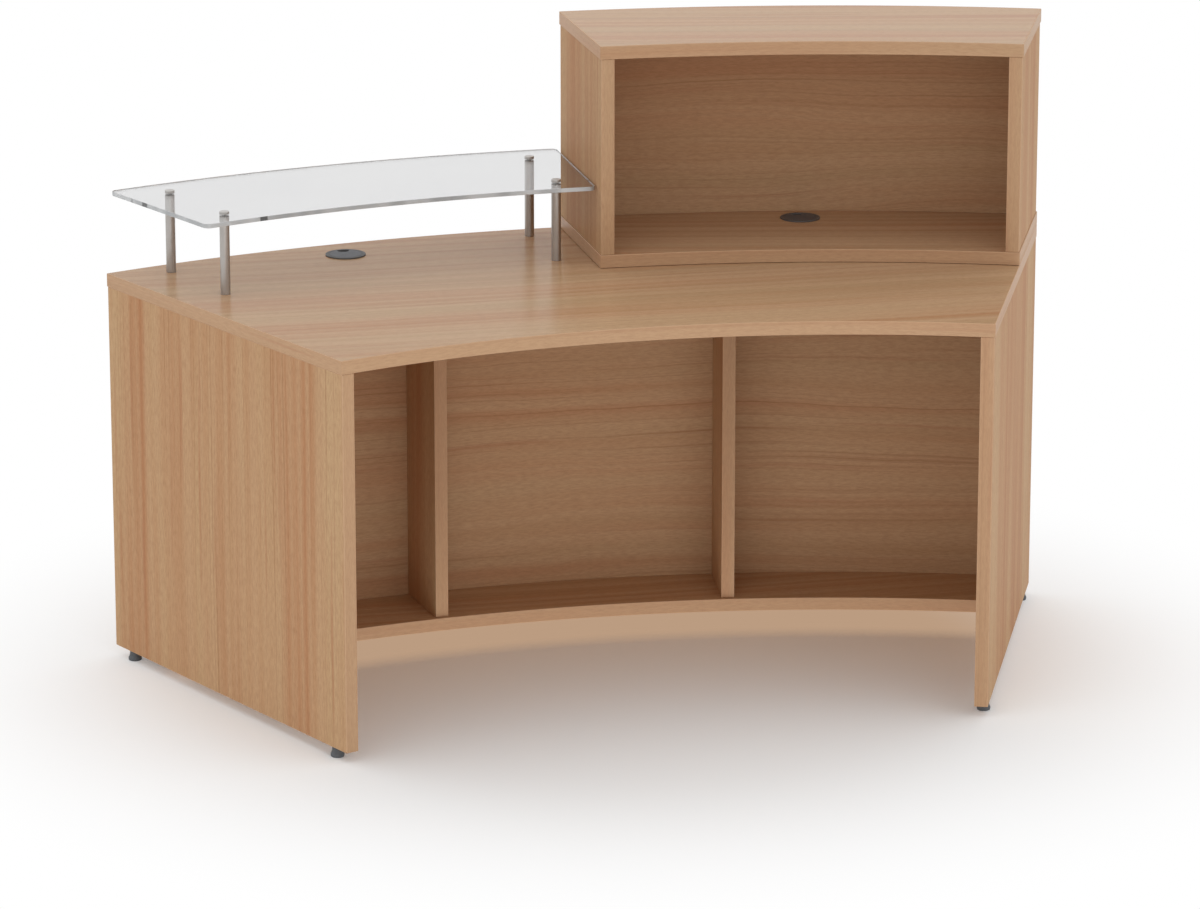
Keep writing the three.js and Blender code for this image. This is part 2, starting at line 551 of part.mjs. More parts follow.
// A cable grommet: a rimmed sleeve with a ledge and a web, and a notched cap that turns on the ledge.
// At rest the notch lies over the web, which closes it.
function buildGrommet(name, angle, level) {
  const stand = groupAt(polar(GROMMET_RADIUS, angle), level);
  const rimRadius = GROMMET_DIAMETER / 2;
  const sleeveRadius = GROMMET_BORE_RADIUS + GROMMET_SLEEVE_WALL;
  const ledgeRadius = GROMMET_BORE_RADIUS - GROMMET_LEDGE;
  const ledgeBottom = GROMMET_SEAT - GROMMET_LEDGE_THICKNESS;
  const liner = turned(
    [
      [ledgeRadius, ledgeBottom],
      [GROMMET_BORE_RADIUS, ledgeBottom],
      [GROMMET_BORE_RADIUS, -GROMMET_SLEEVE_DEPTH],
      [sleeveRadius, -GROMMET_SLEEVE_DEPTH],
      [sleeveRadius, 0],
      [rimRadius, 0],
      [rimRadius, GROMMET_RIM_HEIGHT - GROMMET_RIM_CHAMFER],
      [rimRadius - GROMMET_RIM_CHAMFER, GROMMET_RIM_HEIGHT],
      [GROMMET_BORE_RADIUS, GROMMET_RIM_HEIGHT],
      [GROMMET_BORE_RADIUS, GROMMET_SEAT],
      [ledgeRadius, GROMMET_SEAT],
      [ledgeRadius, ledgeBottom],
    ],
    FINE_SIDES,
  );
  const webRadius = GROMMET_BORE_RADIUS + GROMMET_SLEEVE_WALL / 2;
  const webEdge = GROMMET_CAP_RADIUS - GROMMET_NOTCH_DEPTH - GROMMET_WEB_MARGIN;
  const webReach = Math.acos(webEdge / webRadius);
  const quarter = Math.PI / 2;
  const webArc = arcPoints(ORIGIN, webRadius, quarter - webReach, quarter + webReach, ROUND_SIDES);
  const web = new THREE.Shape(webArc);
  add(`${name}_grommet_liner`, join(liner, slab(web, ledgeBottom, GROMMET_SEAT)), DARK_PLASTIC, stand);

  const halfNotch = Math.asin(GROMMET_NOTCH_WIDTH / 2 / GROMMET_CAP_RADIUS);
  const rim = arcPoints(ORIGIN, GROMMET_CAP_RADIUS, quarter + halfNotch, 5 * quarter - halfNotch, FINE_SIDES);
  const notchCentre = GROMMET_CAP_RADIUS - GROMMET_NOTCH_DEPTH + GROMMET_NOTCH_WIDTH / 2;
  const notchEnd = arcPoints(
    new THREE.Vector2(0, notchCentre),
    GROMMET_NOTCH_WIDTH / 2,
    0,
    -2 * quarter,
    ROUND_SIDES / 2,
  );
  const cap = new THREE.Shape([...rim, ...notchEnd]);
  add(`${name}_grommet_cap`, slab(cap, GROMMET_SEAT, GROMMET_RIM_HEIGHT), GREY_PLASTIC, stand);
}

buildDeskBoards();
buildHutchBoards();
buildGlassShelf();
buildHutchBolts();
buildDowels();
buildFeet();
buildGrommet("desk", -GROMMET_ANGLE, DESK_HEIGHT);
buildGrommet("hutch", GROMMET_ANGLE, HUTCH_FLOOR);

const receptionDesk = new THREE.Group();
receptionDesk.add(desk);

export default receptionDesk;
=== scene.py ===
"""Looks of a curved reception desk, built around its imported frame. Metres, +Z up, +Y to the visitors."""

import json
import math

import bpy
from mathutils import Matrix, Vector
from mathutils.geometry import tessellate_polygon


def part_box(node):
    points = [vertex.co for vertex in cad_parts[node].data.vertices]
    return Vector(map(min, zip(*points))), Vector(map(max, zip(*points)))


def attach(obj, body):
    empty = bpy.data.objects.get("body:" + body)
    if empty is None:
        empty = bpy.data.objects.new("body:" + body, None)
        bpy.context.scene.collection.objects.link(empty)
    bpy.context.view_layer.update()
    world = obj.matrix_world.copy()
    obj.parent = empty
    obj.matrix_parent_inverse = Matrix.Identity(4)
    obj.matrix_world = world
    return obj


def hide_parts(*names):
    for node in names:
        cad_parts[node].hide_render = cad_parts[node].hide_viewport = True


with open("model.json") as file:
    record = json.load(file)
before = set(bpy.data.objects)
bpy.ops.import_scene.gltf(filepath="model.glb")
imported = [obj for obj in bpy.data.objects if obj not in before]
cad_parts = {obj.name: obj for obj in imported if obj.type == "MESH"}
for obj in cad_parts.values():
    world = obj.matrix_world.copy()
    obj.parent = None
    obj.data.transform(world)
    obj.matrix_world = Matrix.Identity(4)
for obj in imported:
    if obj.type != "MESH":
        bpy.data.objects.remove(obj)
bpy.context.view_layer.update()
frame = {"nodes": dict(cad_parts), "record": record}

MM = 0.001
QUARTER = math.pi / 2

# Plan of the desk: a ring sector, worked out from the worktop
HALF_SWEEP = math.radians(22.5)
TOP_LOW, TOP_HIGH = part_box("worktop")
VISITOR_RADIUS = (TOP_HIGH.x - TOP_LOW.x) / 2 / math.sin(HALF_SWEEP)
CENTRE_Y = TOP_HIGH.y - VISITOR_RADIUS
STAFF_RADIUS = (TOP_LOW.y - CENTRE_Y) / math.cos(HALF_SWEEP)
ARC_CENTRE = Vector((0, CENTRE_Y))
BOARD = TOP_HIGH.z - TOP_LOW.z

# Sizes of the boards and the glass that their boxes don't give
CLEARANCE = 0.3 * MM
SIDE_OVERHANG = 1 * MM
STAFF_OVERHANG = 0.5 * MM
VISITOR_OVERHANG = 2 * MM
PANEL_RECESS = 16 * MM
SHELF_REACH = 215 * MM
DIVIDER_SETBACK = 8 * MM
DIVIDER_ANGLE = math.radians(7.5)
HUTCH_DEPTH = 350 * MM
HUTCH_OVERHANG = 2 * MM
HUTCH_PANEL_RECESS = 6 * MM
HUTCH_SEAM = 0.8 * MM
GLASS_DEPTH = 340 * MM
GLASS_OVERHANG = 20 * MM
GLASS_END_INSET = 23 * MM
GLASS_HUTCH_GAP = 2 * MM
GLASS_CORNER = 12 * MM
GLASS_HOLE_RADIUS = 3.3 * MM
CABLE_HOLE_RADIUS = 33.8 * MM

# Insets and radii that these sizes give
END_PANEL_INNER = SIDE_OVERHANG + BOARD
HUTCH_SIDE_INNER = HUTCH_OVERHANG + BOARD
PANEL_INNER_RADIUS = VISITOR_RADIUS - PANEL_RECESS - BOARD
SHELF_RADIUS = VISITOR_RADIUS - SHELF_REACH
SHELF_BACK_RADIUS = PANEL_INNER_RADIUS - CLEARANCE
HUTCH_RADIUS = VISITOR_RADIUS - HUTCH_DEPTH
HUTCH_PANEL_RADIUS = VISITOR_RADIUS - HUTCH_PANEL_RECESS - BOARD
GLASS_VISITOR_RADIUS = VISITOR_RADIUS + GLASS_OVERHANG
GLASS_RADIUS = GLASS_VISITOR_RADIUS - GLASS_DEPTH

# Edges and smoothness
BOARD_ROUNDING = 1.2 * MM
BOARD_CORNER = 2 * MM
GLASS_ROUNDING = 0.8 * MM
STEEL_ROUNDING = 0.5 * MM
CAP_ROUNDING = 1.5 * MM
CAP_LIP_ROUNDING = 0.25 * MM
POST_TOP_ROUNDING = 2.5 * MM
PLASTIC_ROUNDING = 0.4 * MM
WEB_ROUNDING = 0.1 * MM
EDGE_STEPS = 4
CORNER_STEPS = 5
GLASS_CORNER_STEPS = 12
ARC_STEPS = 90
HOLE_SIDES = 48
ROUND_SIDES = 64

# Posts, and the bolts under them and under the raised box
NUMBERS = range(1, 5)
CAP_STEM_RADIUS = 3 * MM
SEAT_GAP = 0.2 * MM
BOLT_FLANGE_RATIO = 2.1
BOLT_HEAD_RATIO = 1.6
BOLT_FLANGE = 1.5 * MM
HEX_SIDES = 6
HEX_CORNER_SHARE = 0.06

# Levelling feet
FOOT_RIM = 6 * MM
FOOT_TOP_RADIUS = 9.5 * MM
FOOT_ROUNDING = 3 * MM
FOOT_HEIGHT = 20 * MM
FLARE_STEPS = 10
FLARE_HOLLOW = 0.25
STUD_RADIUS = 4 * MM
THREAD_PITCH = 1.25 * MM
THREAD_DEPTH = 0.55 * MM

# Cable grommets
GROMMET_RIM_RADIUS = 38 * MM
GROMMET_RIM_HEIGHT = 2.5 * MM
GROMMET_RIM_ROUNDING = 1.5 * MM
GROMMET_BORE = 31 * MM
GROMMET_SLEEVE = 33.5 * MM
GROMMET_SLEEVE_DEPTH = 20 * MM
GROMMET_LEDGE = 28 * MM
GROMMET_LEDGE_THICKNESS = 2 * MM
GROMMET_CAP_RADIUS = 30.7 * MM
GROMMET_CAP_THICKNESS = 3 * MM
GROMMET_NOTCH_WIDTH = 22 * MM
GROMMET_NOTCH_DEPTH = 16 * MM
GROMMET_WEB_MARGIN = 5 * MM

# Material slots of a piece of one material
ONE_SLOT = (0, 0, 0)

# Place of each board in the decor, in metres along and across its grain, and how far off its edging is
GRAIN_PLACES = {
    "worktop": (20.74, 3.3),
    "left_end_panel": (7.3, 2.2),
    "right_end_panel": (13.3, 6.4),
    "visitor_panel": (15.2, 8.1),
    "bottom_shelf": (19.4, 6.7),
    "left_divider": (23.8, 1.3),
    "right_divider": (27.5, 3.9),
    "hutch_base": (31.6, 9.2),
    "hutch_top": (35.3, 4.5),
    "hutch_left_panel": (39.7, 7.4),
    "hutch_right_panel": (43.1, 2.8),
    "hutch_visitor_panel": (47.6, 6.3),
}
EDGING_SHIFT = (1.7, 0.9)

# Waves of the decor in a metre along and across its grain
SLOW_WAVES = (1.1, 3.6, 1)
QUICK_WAVES = (6.5, 17, 1)
ZONE_WAVES = (0.4, 9, 1)
BAND_WAVES = (0.4, 36, 1)
LINE_WAVES = (0.8, 185, 1)
CROWD_WAVES = (0.6, 13, 1)
STREAK_WAVES = (1.5, 62, 1)
FLECK_WAVES = (46, 250, 1)
FIBRE_WAVES = (70, 820, 1)

# Part of each noise that shows as a mark, from where it begins to where it is full
BROAD_RANGE = (0.32, 0.68)
LINE_RANGE = (0.53, 0.72)
CROWD_RANGE = (0.36, 0.66)
STREAK_RANGE = (0.60, 0.76)
FLECK_RANGE = (0.36, 0.68)
FIBRE_RANGE = (0.42, 0.70)

# Strength of the decor's marks
QUICK_SHARE = 0.11
BAND_SHARE = 0.75
STREAK_SHARE = 0.55
LINE_SHARE = 0.52
LEAST_CROWD = 0.25
FLECK_SHARE = 0.24
FIBRE_SHARE = 0.24
LINE_DEPTH_SHARE = 0.3
GLOSS_SWING = 0.03
GRAIN_DEPTH = 0.03 * MM

# The range in which most of a noise lies, and its middle
NOISE_LOW = 0.3
NOISE_HIGH = 0.7
NOISE_MIDDLE = 0.5

# Index of refraction of the materials that aren't metal
LAMINATE_IOR = 1.48
GLASS_IOR = 1.2
GLASS_EDGE_IOR = 1.5
PLASTIC_IOR = 1.5
BEECH_IOR = 1.45

# Camera, in the photograph's viewing direction
PHOTO_WIDTH = 1200
FOCAL_PIXELS = 5666.1
SENSOR_WIDTH = 36.0
CAMERA_PLACE = Vector((-2.30005, -9.88215, 3.21665))
CAMERA_YAW = 0.2264
CAMERA_PITCH = 0.2700

# Light
WHITE = (1, 1, 1, 1)
HORIZON_STRENGTH = 1.0
SKY_STRENGTH = 0.92
HORIZON_HEIGHT = 0.15
SKY_HEIGHT = 0.55
FILL_PLACE = Vector((-0.3, -2.9, 0.25))
FILL_FACING = Vector((0, 1, 0))
FILL_SIZE = 2.4
FILL_HEIGHT = 0.4
FILL_WATTS = 4.8

# Floor, with a painted warm glow (painted light) before the bottom shelf, whose sides are angles from the
# desk's ends
FLOOR_HALF = 60.0
FLOOR_COLOUR = (0.98, 0.98, 0.98, 1)
FLOOR_ROUGHNESS = 0.9
FADE_START = 0.65
FADE_END = 1.45
PAINTED_GLOW_TINT = (187, 156, 129)
GLOW_BEFORE = 150 * MM
GLOW_FULL = 35 * MM
GLOW_BEHIND = 60 * MM
GLOW_END = 90 * MM
GLOW_TAIL = 650 * MM
GLOW_SIDE_FULL = 0.022
GLOW_SIDE_END = 0.013
TAIL_SHARE = 0.24
# Painted light: the floor before the shelf glows with this for the object's diffuse rays, as a lamp would
BOUNCE_LIGHT = (1.06, 1.06, 1.06, 1)
BOUNCE_BEFORE = 490 * MM
BOUNCE_FULL = 60 * MM


# Outlines in plan, as counter-clockwise lists of points


def polar(radius, angle):
    """A point in plan. Angles count from +Y towards +X."""
    return ARC_CENTRE + Vector((radius * math.sin(angle), radius * math.cos(angle)))


def arc(centre, radius, start, end, steps):
    """Points of an arc by the mathematical angle from +X, both ends included."""
    angles = [start + (end - start) * i / steps for i in range(steps + 1)]
    return [centre + Vector((radius * math.cos(a), radius * math.sin(a))) for a in angles]


def sector(inner, outer, left, right, corner=BOARD_CORNER, corner_steps=CORNER_STEPS):
    """A ring sector with rounded corners. Each end is an angle and an inset from the radius there."""
    inner_mid = inner + corner
    outer_mid = outer - corner

    def meet(end, inward, radius):
        return end[0] + inward * math.asin((end[1] + corner) / radius)

    outer_left = meet(left, 1, outer_mid)
    outer_right = meet(right, -1, outer_mid)
    inner_left = meet(left, 1, inner_mid)
    inner_right = meet(right, -1, inner_mid)

    def rounding(radius, angle, start, end):
        return arc(polar(radius, angle), corner, start, end, corner_steps)

    def sweep(radius, start, end):
        return arc(ARC_CENTRE, radius, QUARTER - start, QUARTER - end, ARC_STEPS)[1:-1]

    return [
        *rounding(outer_mid, outer_right, -right[0], QUARTER - outer_right),
        *sweep(outer, outer_right, outer_left),
        *rounding(outer_mid, outer_left, QUARTER - outer_left, 2 * QUARTER - left[0]),
        *rounding(inner_mid, inner_left, 2 * QUARTER - left[0], 3 * QUARTER - inner_left),
        *sweep(inner, inner_left, inner_right),
        *rounding(inner_mid, inner_right, 3 * QUARTER - inner_right, 4 * QUARTER - right[0]),
    ]


def rectangle(low, high):
    """A board's rectangle with rounded corners."""
    left, bottom = low[0] + BOARD_CORNER, low[1] + BOARD_CORNER
    right, top = high[0] - BOARD_CORNER, high[1] - BOARD_CORNER
    points = []
    for i, centre in enumerate([(right, bottom), (right, top), (left, top), (left, bottom)]):
        points += arc(Vector(centre), BOARD_CORNER, (i - 1) * QUARTER, i * QUARTER, CORNER_STEPS)
    return points


def circle(centre, radius, sides=HOLE_SIDES):
    return arc(centre, radius, 0, 2 * math.pi, sides)[:-1]


def hole(centre, radius):
    """A round hole's outline, which runs clockwise."""
    return circle(centre, radius)[::-1]


# Meshes


class Form:
    """Vertices, normals, faces, grain map and material slots of one mesh."""

    def __init__(self):
        self.vertices = []
        self.normals = []
        self.faces = []
        self.maps = []
        self.slots = []

    def vertex(self, place, normal):
        self.vertices.append(Vector(place))
        self.normals.append(Vector(normal).normalized())
        return len(self.vertices) - 1

    def face(self, corners, slot=0, grain=None):
        self.faces.append(corners)
        self.slots.append(slot)
        self.maps.append(grain or [(0, 0)] * len(corners))

    def move(self, matrix):
        turn = matrix.to_3x3()
        self.vertices = [matrix @ v for v in self.vertices]
        self.normals = [turn @ n for n in self.normals]
        return self

    def lift(self, height):
        return self.move(Matrix.Translation((0, 0, height)))

    def stand_at(self, node):
        """Moves a round form over the middle of its node."""
        return self.move(Matrix.Translation((*centre_of(node).to_2d(), 0)))

    def join(self, other):
        first = len(self.vertices)
        self.vertices += other.vertices
        self.normals += other.normals
        self.faces += [[first + i for i in face] for face in other.faces]
        self.maps += other.maps
        self.slots += other.slots

    def build(self, name, materials):
        mesh = bpy.data.meshes.new(name)
        mesh.from_pydata(self.vertices, [], self.faces)
        for material in materials:
            mesh.materials.append(material)
        grain = mesh.uv_layers.new(name="grain")
        corners = [corner for face in self.maps for corner in face]
        grain.data.foreach_set("uv", [value for corner in corners for value in corner])
        mesh.polygons.foreach_set("material_index", self.slots)
        mesh.polygons.foreach_set("use_smooth", [True] * len(self.faces))
        mesh.normals_split_custom_set_from_vertices(self.normals)
        mesh.update()
        piece = bpy.data.objects.new(name, mesh)
        bpy.context.scene.collection.objects.link(piece)
        return piece


def loop_normals(loop):
    """Outward direction at each point of a loop."""
    normals = []
    for i, point in enumerate(loop):
        along = (point - loop[i - 1]).normalized() + (loop[(i + 1) % len(loop)] - point).normalized()
        normals.append(Vector((along.y, -along.x)).normalized())
    return normals


def edge_profile(depth, rounding):
    """Inset, height, outward and upward share of the normal, from the lower edge to the upper one."""
    rows = []
    for k in range(EDGE_STEPS + 1):
        turn = QUARTER * k / EDGE_STEPS
        out, up = math.sin(turn), -math.cos(turn)
        rows.append((rounding * (1 - out), rounding * (1 + up), out, up))
    return rows + [(inset, depth - height, out, -up) for inset, height, out, up in reversed(rows)]


def loop_lengths(loop):
    """Distance along a closed loop to each of its points, and round to the first one again."""
    lengths = [0.0]
    for i, point in enumerate(loop):
        lengths.append(lengths[-1] + (loop[(i + 1) % len(loop)] - point).length)
    return lengths


def profile_rises(rows):
    """Distance along an edge profile to each of its rows."""
    rises = [0.0]
    for low, high in zip(rows, rows[1:]):
        rises.append(rises[-1] + math.hypot(high[0] - low[0], high[1] - low[1]))
    return rises


def add_wall(form, loop, rows, shift, side_slot, edge_slot):
    """Carries a loop up along an edge profile. Returns the vertices of its lowest and highest rows."""
    count = len(loop)
    first = len(form.vertices)
    normals = loop_normals(loop)
    for inset, height, out, up in rows:
        for point, normal in zip(loop, normals):
            place = point - normal * inset
            form.vertex((*place, height), (*(normal * out), up))
    lengths = loop_lengths(loop)
    rises = profile_rises(rows)
    for k in range(len(rows) - 1):
        slot = side_slot if k == EDGE_STEPS else edge_slot
        for i in range(count):
            j = (i + 1) % count
            corners = [(i, i, k), (j, i + 1, k), (j, i + 1, k + 1), (i, i, k + 1)]
            grain = [(lengths[u] + shift[0], rises[row] + shift[1]) for _, u, row in corners]
            form.face([first + row * count + at for at, _, row in corners], slot, grain)
    last = len(form.vertices) - count
    return range(first, first + count), range(last, last + count)


def add_cap(form, rims, upward, slot, grain_angle, shift):
    """Closes the rims of walls with a flat face that looks up or down."""
    cos, sin = math.cos(grain_angle), math.sin(grain_angle)
    order = [i for rim in rims for i in rim]
    flat = [[form.vertices[i].to_2d().to_3d() for i in rim] for rim in rims]
    for triangle in tessellate_polygon(flat):
        corners = [order[i] for i in triangle]
        a, b, c = [form.vertices[i].to_2d() for i in corners]
        looks_up = (b - a).cross(c - a) > 0
        if looks_up != upward:
            corners.reverse()
        places = [form.vertices[i] for i in corners]
        grain = [(p.x * cos + p.y * sin + shift[0], p.y * cos - p.x * sin + shift[1]) for p in places]
        form.face(corners, slot, grain)


def prism(outline, depth, rounding, holes=(), grain_angle=0.0, shift=(0.0, 0.0), slots=(0, 1, 2)):
    """An outline carried up through its depth, with rounded edges and a grain map in metres.

    The slots are the materials of the two flat faces, of the sides and of the rounded edges.
    """
    form = Form()
    cap_slot, side_slot, edge_slot = slots
    rows = edge_profile(depth, rounding)
    side_shift = (shift[1] + EDGING_SHIFT[0], shift[0] + EDGING_SHIFT[1])
    walls = [add_wall(form, loop, rows, side_shift, side_slot, edge_slot) for loop in [outline, *holes]]
    lower_rims, upper_rims = zip(*walls)
    add_cap(form, lower_rims, False, cap_slot, grain_angle, shift)
    add_cap(form, upper_rims, True, cap_slot, grain_angle, shift)
    return form


def fillet(corners):
    """A profile with eased corners. Each corner is a radius, a height and a rounding."""
    points = [Vector(corner[:2]) for corner in corners]
    eased = []
    for i, (point, (_, _, rounding)) in enumerate(zip(points, corners)):
        if rounding == 0:
            eased.append(point)
            continue
        before = (points[i - 1] - point).normalized() * rounding
        after = (points[(i + 1) % len(points)] - point).normalized() * rounding
        for k in range(EDGE_STEPS + 1):
            t = k / EDGE_STEPS
            eased.append(point + before * (1 - t) ** 2 + after * t**2)
    return eased


def turned(profile, closed=False):
    """A round body about +Z. The profile holds radii and heights, from the lower end up the outside."""
    form = Form()
    count = len(profile)
    leans = []
    for i in range(count if closed else count - 1):
        step = profile[(i + 1) % count] - profile[i]
        leans.append(Vector((step.y, -step.x)))
    rows = {}
    for i, (radius, height) in enumerate(profile):
        if radius == 0:
            continue
        before = leans[i - 1] if closed or i > 0 else Vector((0, 0))
        after = leans[i % len(leans)] if closed or i < count - 1 else Vector((0, 0))
        lean = (before + after).normalized()
        rows[i] = []
        for s in range(ROUND_SIDES):
            turn = 2 * math.pi * s / ROUND_SIDES
            around = Vector((math.cos(turn), math.sin(turn)))
            rows[i].append(form.vertex((*(around * radius), height), (*(around * lean.x), lean.y)))
    for i in range(len(leans)):
        low, high = rows.get(i), rows.get((i + 1) % count)
        if low and high:
            for s in range(ROUND_SIDES):
                t = (s + 1) % ROUND_SIDES
                form.face([low[s], low[t], high[t], high[s]])
        elif high:
            form.face(high[::-1])
        elif low:
            form.face(low)
    return form


def centre_of(node):
    low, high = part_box(node)
    return (low + high) / 2


def put(form, name, node, body, materials):
    """Builds a form as the piece that stands for a node."""
    piece = form.build(name, materials)
    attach(piece, body)
    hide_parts(node)


# Materials


def srgb(red, green, blue):
    """A colour from 0 to 255 as the shader's linear values."""
    def linear(value):
        value /= 255
        return value / 12.92 if value <= 0.04045 else ((value + 0.055) / 1.055) ** 2.4
    return (linear(red), linear(green), linear(blue), 1)


class Nodes:
    """A tree of shader nodes."""

    def __init__(self, tree):
        self.tree = tree

    def node(self, kind, inputs=None, **settings):
        made = self.tree.nodes.new(kind)
        for key, value in settings.items():
            setattr(made, key, value)
        for key, value in (inputs or {}).items():
            self.feed(made.inputs[key], value)
        return made

    def feed(self, socket, value):
        if isinstance(value, bpy.types.NodeSocket):
            self.tree.links.new(value, socket)
        else:
            socket.default_value = value


class Finish(Nodes):
    """A material made of nodes."""

    def __init__(self, name, **values):
        self.material = bpy.data.materials.new(name)
        self.material.use_nodes = True
        super().__init__(self.material.node_tree)
        self.shader = self.tree.nodes["Principled BSDF"]
        for key, value in values.items():
            self.shader.inputs[key.replace("_", " ")].default_value = value

    def set(self, name, value):
        self.feed(self.shader.inputs[name], value)

    def grain(self):
        return self.node("ShaderNodeUVMap", uv_map="grain").outputs["UV"]

    def places(self):
        return self.node("ShaderNodeTexCoord").outputs["Object"]

    def noise(self, vector, waves, detail=2.0, roughness=0.5):
        """A noise with so many waves in a metre along each axis."""
        place = self.node("ShaderNodeMapping", {"Vector": vector, "Scale": waves}).outputs["Vector"]
        inputs = {"Vector": place, "Scale": 1.0, "Detail": detail, "Roughness": roughness}
        return self.node("ShaderNodeTexNoise", inputs).outputs["Fac"]

    def math(self, operation, first, second=0.0):
        return self.node("ShaderNodeMath", {0: first, 1: second}, operation=operation).outputs[0]

    def length(self, vector):
        return self.node("ShaderNodeVectorMath", {0: vector}, operation="LENGTH").outputs["Value"]

    def moved(self, vector, step):
        return self.node("ShaderNodeVectorMath", {0: vector, 1: step}, operation="ADD").outputs[0]

    def spread(self, value, low, high, to_low=0.0, to_high=1.0):
        """A value moved from one range to another, kept inside it."""
        inputs = {"Value": value, "From Min": low, "From Max": high, "To Min": to_low, "To Max": to_high}
        return self.node("ShaderNodeMapRange", inputs, interpolation_type="SMOOTHSTEP").outputs["Result"]

    def mix(self, share, first, second, blend="MIX"):
        """Two colours mixed: inputs 6 and 7 and output 2 of the node are its colours."""
        inputs = {0: share, 6: first, 7: second}
        return self.node("ShaderNodeMix", inputs, data_type="RGBA", blend_type=blend).outputs[2]

    def uneven_gloss(self, noise, roughness, swing):
        """Roughness that follows a noise by a swing to either side."""
        rough = self.spread(noise, NOISE_LOW, NOISE_HIGH, roughness - swing, roughness + swing)
        self.set("Roughness", rough)

    def bump(self, height, depth, strength):
        inputs = {"Height": height, "Distance": depth, "Strength": strength}
        self.set("Normal", self.node("ShaderNodeBump", inputs).outputs["Normal"])

    def glow(self, colour):
        return self.node("ShaderNodeEmission", {"Color": colour, "Strength": 1.0}).outputs[0]

    def shader_mix(self, share, first, second):
        return self.node("ShaderNodeMixShader", {0: share, 1: first, 2: second}).outputs[0]


PLAIN_ZONES = (srgb(190, 157, 120), srgb(188, 139, 102))
STRONG_ZONES = (srgb(198, 165, 127), srgb(183, 133, 97))
PLAIN_BANDS = srgb(198, 162, 126)
PALE_BANDS = srgb(204, 170, 135)
STREAK_COLOUR = srgb(176, 124, 92)
LINE_COLOUR = srgb(146, 98, 64)
FLECK_COLOUR = srgb(150, 106, 74)
FIBRE_COLOUR = srgb(136, 95, 62)
PALE_WASH = srgb(222, 196, 168)
EDGING_COLOUR = srgb(185, 147, 117)
# Paler colour of the boards' rounded edges, a painted highlight along the corners
CORNER_HIGHLIGHT_COLOUR = srgb(202, 166, 134)


def wood(name, wander, gloss, roughness, contrast=1.0, base=EDGING_COLOUR, relief=0.5, pale=0.0, marks=1.0,
         zone_colours=PLAIN_ZONES, band_colour=PLAIN_BANDS):
    """Light beech laminate: broad warm zones, thin wavy growth lines, short fibres and reddish streaks."""
    finish = Finish(name, IOR=LAMINATE_IOR, Specular_IOR_Level=gloss)
    flat = finish.grain()
    slow = finish.math("SUBTRACT", finish.noise(flat, SLOW_WAVES, detail=1.0), NOISE_MIDDLE)
    quick = finish.math("SUBTRACT", finish.noise(flat, QUICK_WAVES, detail=1.0), NOISE_MIDDLE)
    drift = finish.math("ADD", slow, finish.math("MULTIPLY", quick, QUICK_SHARE))
    bend = finish.node("ShaderNodeCombineXYZ", {"Y": finish.math("MULTIPLY", drift, wander)}).outputs[0]
    grain = finish.moved(flat, bend)
    zones = finish.noise(grain, ZONE_WAVES, roughness=0.55)
    bands = finish.noise(grain, BAND_WAVES, roughness=0.45)
    lines = finish.spread(finish.noise(grain, LINE_WAVES, roughness=0.55), *LINE_RANGE)
    crowd = finish.spread(finish.noise(grain, CROWD_WAVES, detail=1.0), *CROWD_RANGE, LEAST_CROWD, 1.0)
    streaks = finish.spread(finish.noise(grain, STREAK_WAVES), *STREAK_RANGE)
    flecks = finish.noise(grain, FLECK_WAVES, roughness=0.7)
    fibres = finish.noise(flat, FIBRE_WAVES, roughness=0.6)
    colour = finish.mix(finish.spread(zones, *BROAD_RANGE), *zone_colours)
    colour = finish.mix(finish.spread(bands, *BROAD_RANGE, 0.0, BAND_SHARE), colour, band_colour)
    colour = finish.mix(finish.math("MULTIPLY", streaks, STREAK_SHARE * marks), colour, STREAK_COLOUR)
    dark_lines = finish.math("MULTIPLY", finish.math("MULTIPLY", lines, crowd), LINE_SHARE * marks)
    colour = finish.mix(dark_lines, colour, LINE_COLOUR)
    colour = finish.mix(finish.spread(flecks, *FLECK_RANGE, 0.0, FLECK_SHARE * marks), colour, FLECK_COLOUR)
    colour = finish.mix(finish.spread(fibres, *FIBRE_RANGE, 0.0, FIBRE_SHARE), colour, FIBRE_COLOUR)
    colour = finish.mix(contrast, base, colour)
    finish.set("Base Color", finish.mix(pale, colour, PALE_WASH))
    finish.uneven_gloss(bands, roughness, GLOSS_SWING)
    height = finish.math("SUBTRACT", fibres, finish.math("MULTIPLY", lines, LINE_DEPTH_SHARE))
    finish.bump(height, GRAIN_DEPTH, relief)
    return finish.material


def clear_glass():
    """Clear glass with a faint grey tint, a low gloss and barely uneven faces."""
    finish = Finish("clear_glass", Roughness=0.0, IOR=GLASS_IOR, Transmission_Weight=1.0)
    waves = finish.noise(finish.places(), waves=(5, 5, 5), detail=1.0)
    finish.set("Base Color", finish.mix(waves, srgb(219, 219, 220), srgb(223, 223, 223)))
    return finish.material


